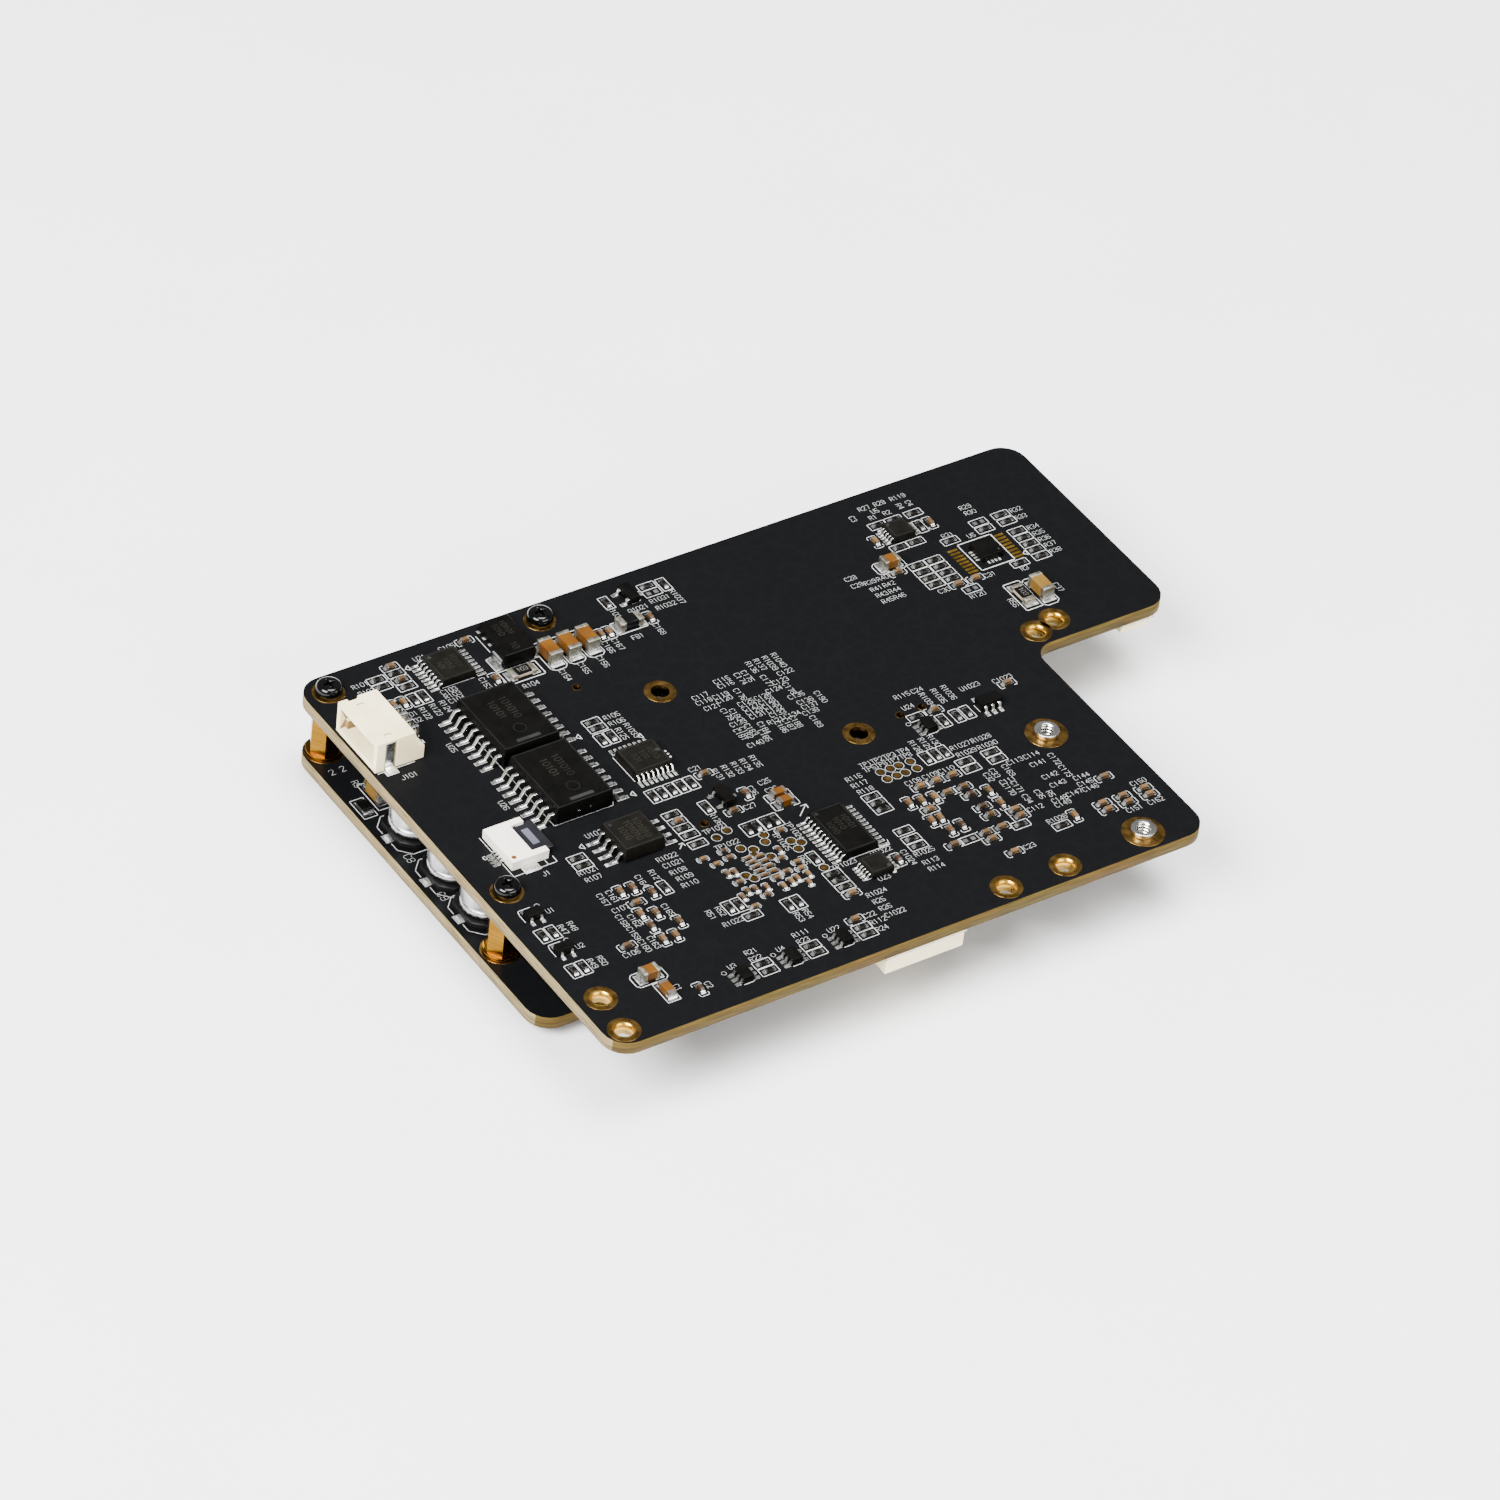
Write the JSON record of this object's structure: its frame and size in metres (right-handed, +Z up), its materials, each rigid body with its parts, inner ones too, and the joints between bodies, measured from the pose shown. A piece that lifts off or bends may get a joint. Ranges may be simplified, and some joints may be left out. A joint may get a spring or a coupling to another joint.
{
  "type": "flight controller board",
  "caption": "Drone flight controller: a notched main circuit board over a smaller power board on brass pillars, with side connectors and a flip-latch flex socket.",
  "frame": {"origin": "under the middle of the main board, level with the lowest screw heads", "axes": "+X along the long side of the main board towards the tab, +Y to the rear edge, +Z up"},
  "size_m": [0.1, 0.0684, 0.0158],
  "materials": {
    "board_laminate": "satin black solder mask over glass-epoxy laminate",
    "pillar_brass": "bright turned brass",
    "black_steel": "black oxide, glossy",
    "nickel_steel": "bright nickel plate",
    "tinned_contact": "tin plate over copper alloy",
    "can_aluminium": "drawn aluminium can",
    "ivory_plastic": "moulded ivory nylon",
    "white_plastic": "moulded white polymer",
    "grey_plastic": "moulded dark grey polymer",
    "dark_plastic": "moulded black polymer",
    "epoxy": "black moulded epoxy",
    "ceramic_tan": "tan ceramic with tinned ends",
    "chip_black": "black glaze with tinned ends"
  },
  "bodies": {
    "board_stack": {"bus_tssop": "epoxy", "can_base_front": "dark_plastic", "can_base_mid": "dark_plastic", "can_base_rear": "dark_plastic", "can_front": "can_aluminium", "can_mid": "can_aluminium", "can_rear": "can_aluminium", "cap_front_left": "ceramic_tan", "cap_mid_tab": "ceramic_tan", "cap_tab": "ceramic_tan", "cap_tall_1": "ceramic_tan", "cap_tall_2": "ceramic_tan", "cap_tall_3": "ceramic_tan", "driver_soic_front": "epoxy", "driver_soic_rear": "epoxy", "ferrite_bead": "chip_black", "flex_housing": "white_plastic", "flex_tab_front": "tinned_contact", "flex_tab_rear": "tinned_contact", "gate_array_bga": "epoxy", "logic_tssop_mid": "epoxy", "logic_tssop_rear": "epoxy", "main_board": "board_laminate", "memory_bga": "epoxy", "memory_sop": "epoxy", "mezzanine_plug": "dark_plastic", "mezzanine_socket": "dark_plastic", "msop_mid": "epoxy", "msop_tab": "epoxy", "power_board": "board_laminate", "power_diode": "epoxy", "power_ic": "epoxy", "processor_bga": "epoxy", "regulator_right": "epoxy", "resistor_shunt": "chip_black", "resistor_tab": "chip_black", "screw_bottom_front_left": "black_steel", "screw_bottom_rear_left": "black_steel", "screw_bottom_rear_mid": "black_steel", "screw_top_front_left": "black_steel", "screw_top_rear_left": "black_steel", "screw_top_rear_mid": "black_steel", "sensor_qfn": "epoxy", "spacer_front": "nickel_steel", "spacer_rear": "nickel_steel", "standoff_front_left": "pillar_brass", "standoff_rear_left": "pillar_brass", "standoff_rear_mid": "pillar_brass", "transistor_rear": "epoxy", "under_header_front": "ivory_plastic", "under_header_tab": "ivory_plastic", "wire_header_housing": "ivory_plastic", "wire_header_pin_1": "tinned_contact", "wire_header_pin_2": "tinned_contact", "wire_header_pin_3": "tinned_contact", "wire_header_pin_4": "tinned_contact", "wire_header_tab_front": "tinned_contact", "wire_header_tab_rear": "tinned_contact"},
    "flip_latch": {"flex_latch": "grey_plastic"}
  },
  "joints": [
    {"name": "latch_hinge", "type": "hinge", "parent": "board_stack", "child": "flip_latch", "pos_m": [-0.04105, -0.0011, 0.01234], "axis": [0, -1, 0], "range_deg": [0, 90]}
  ]
}
